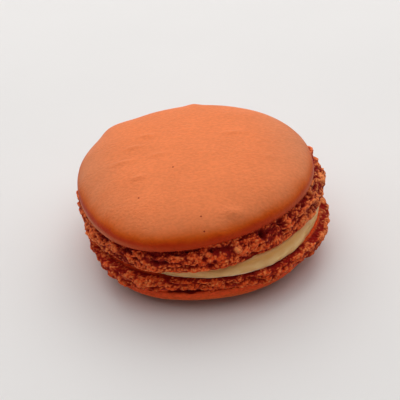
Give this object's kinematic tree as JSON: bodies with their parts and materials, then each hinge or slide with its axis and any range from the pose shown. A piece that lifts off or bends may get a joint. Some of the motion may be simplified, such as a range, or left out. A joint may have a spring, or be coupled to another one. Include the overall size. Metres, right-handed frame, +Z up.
{
  "type": "salted caramel macaron",
  "caption": "Sandwich biscuit of smooth domed almond meringue shells with crumbly feet, tipped on a wedge of caramel cream.",
  "frame": {"origin": "on the table, under the middle of the macaron's outline", "axes": "+Z up, +X towards the side where the cream is thickest, and -Y towards the side where the cream shows"},
  "size_m": [0.0505, 0.0486, 0.0231],
  "materials": {
    "meringue_shell": "satin-matt baked almond meringue, orange caramel brown, with a darker crumbly foot",
    "caramel_cream": "smooth pale beige butter cream with a soft sheen"
  },
  "bodies": {
    "root": {"bottom_shell": "meringue_shell", "filling": "caramel_cream", "top_shell": "meringue_shell"}
  },
  "joints": []
}
